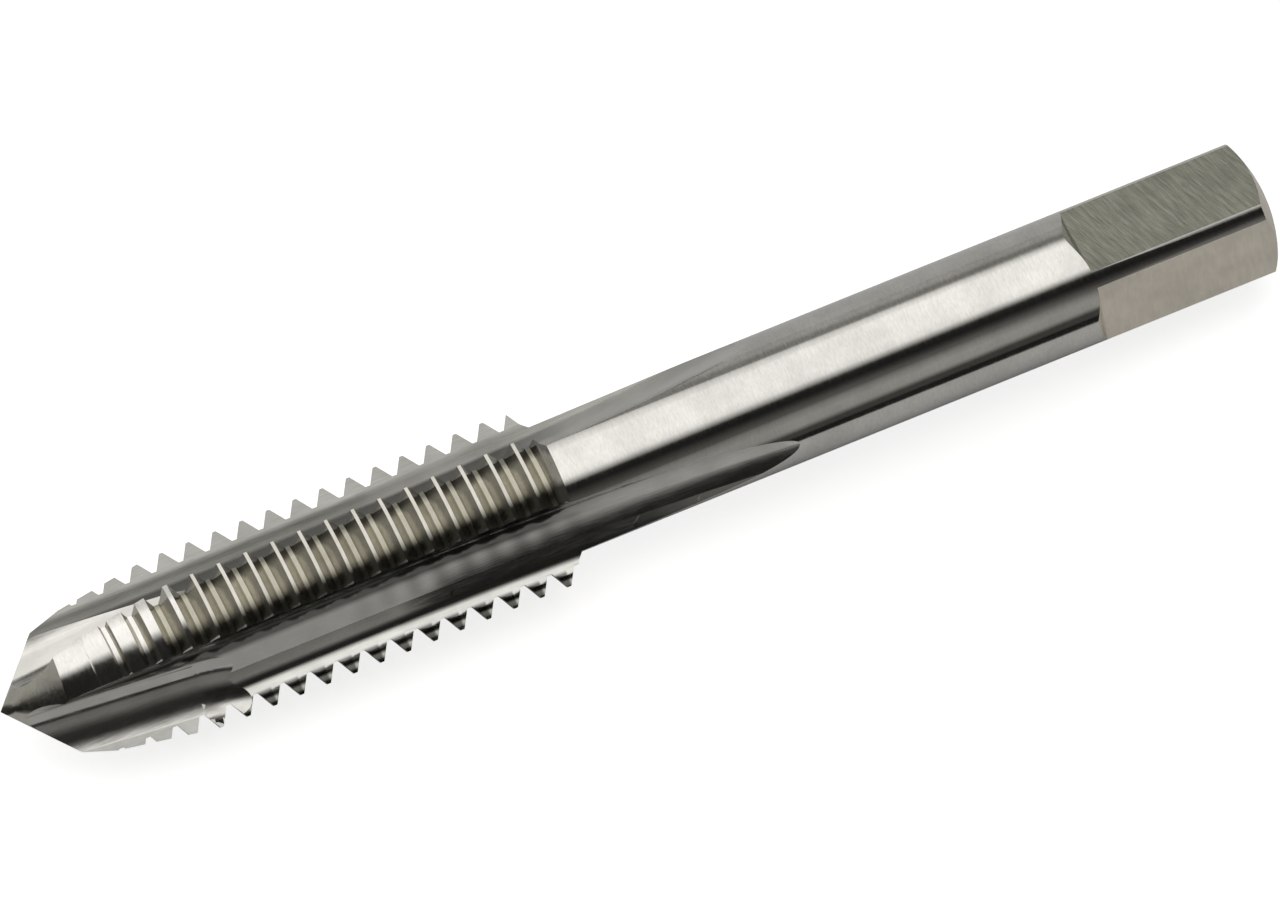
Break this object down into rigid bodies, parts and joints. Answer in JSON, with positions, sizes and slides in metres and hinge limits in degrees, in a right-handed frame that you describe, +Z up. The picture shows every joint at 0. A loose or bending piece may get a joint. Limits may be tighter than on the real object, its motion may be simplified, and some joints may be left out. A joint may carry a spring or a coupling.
{
  "type": "spiral-point thread tap",
  "caption": "Spiral-point machine tap with a relieved chamfer lead, straight flutes, a plain reduced shank and a drive square.",
  "frame": {"origin": "on the tap's axis at the end of the drive square", "axes": "+X along the axis from the point towards the drive end; +Z up through the middle of one land; Y completes the right-handed frame"},
  "size_m": [0.0712, 0.0099, 0.0089],
  "materials": {
    "tool_steel": "bright ground high-speed steel"
  },
  "bodies": {
    "root": {"spiral_point_tap": "tool_steel"}
  },
  "joints": []
}
